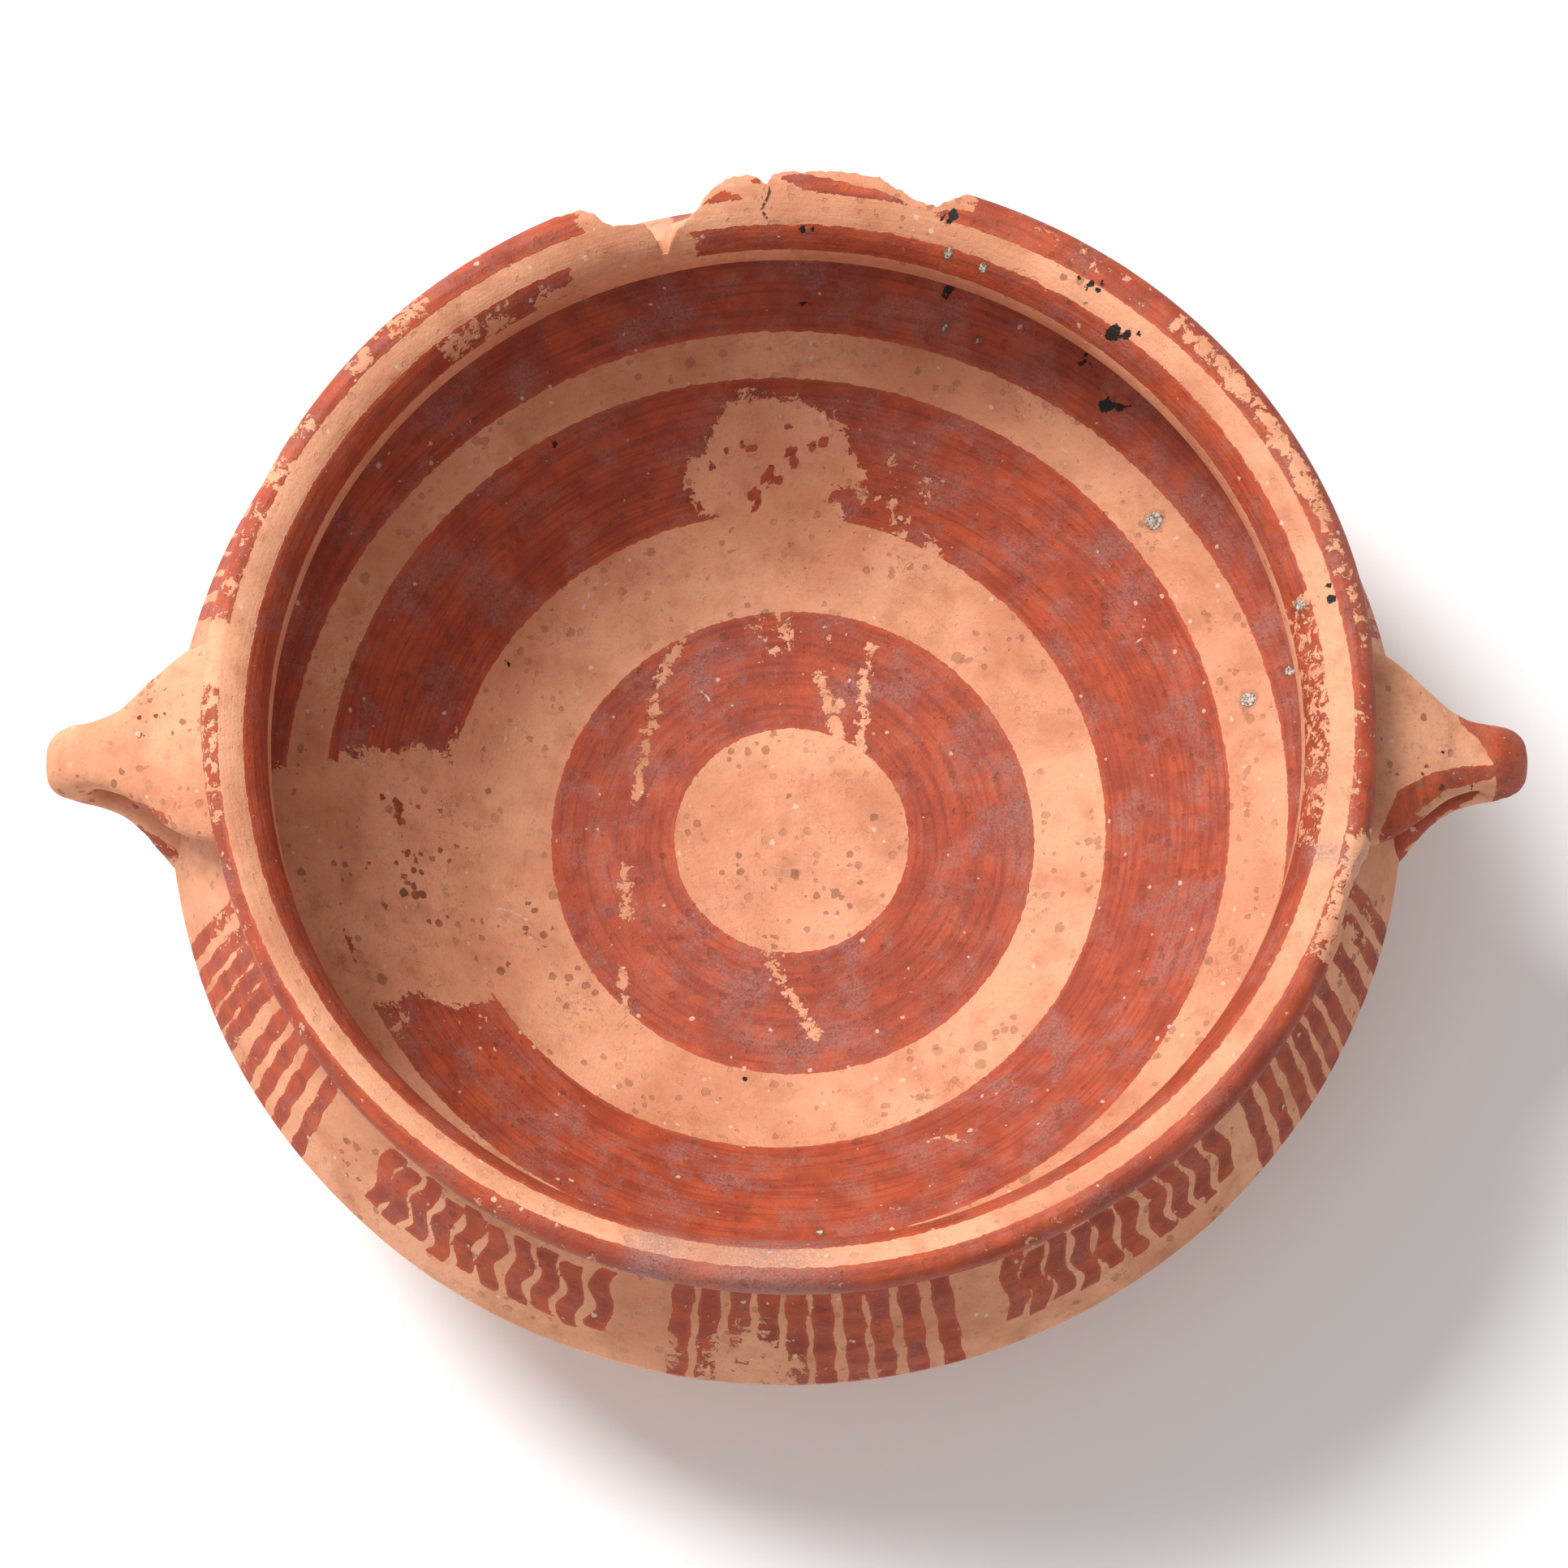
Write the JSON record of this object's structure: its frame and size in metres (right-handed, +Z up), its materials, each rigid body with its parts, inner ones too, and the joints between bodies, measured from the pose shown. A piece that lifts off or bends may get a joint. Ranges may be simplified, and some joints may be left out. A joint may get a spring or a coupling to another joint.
{
  "type": "biconical bowl",
  "caption": "Wide two-handled biconical bowl of painted fired clay, with an everted lip, a sharp shoulder, strap handles pierced from side to side and a low ring foot.",
  "frame": {"origin": "centre of the foot ring's resting face, on the surface that the bowl stands on", "axes": "+Z up along the bowl's axis, X through the two handles, -Y towards the side that faces the viewer"},
  "size_m": [0.255, 0.2136, 0.082],
  "materials": {
    "foot_clay": "matt fired buff clay, scuffed",
    "bowl_clay": "matt buff clay with broad bands of red slip inside, worn in patches",
    "shoulder_clay": "matt buff clay with groups of brushed red strokes",
    "lip_clay": "matt buff clay with thin bands of red slip, flaked at the edge",
    "handle_clay": "matt buff clay with remains of red slip"
  },
  "bodies": {
    "root": {"foot_ring": "foot_clay", "lower_bowl": "bowl_clay", "shoulder": "shoulder_clay", "lip": "lip_clay", "handle_right": "handle_clay", "handle_left": "handle_clay"}
  },
  "joints": []
}
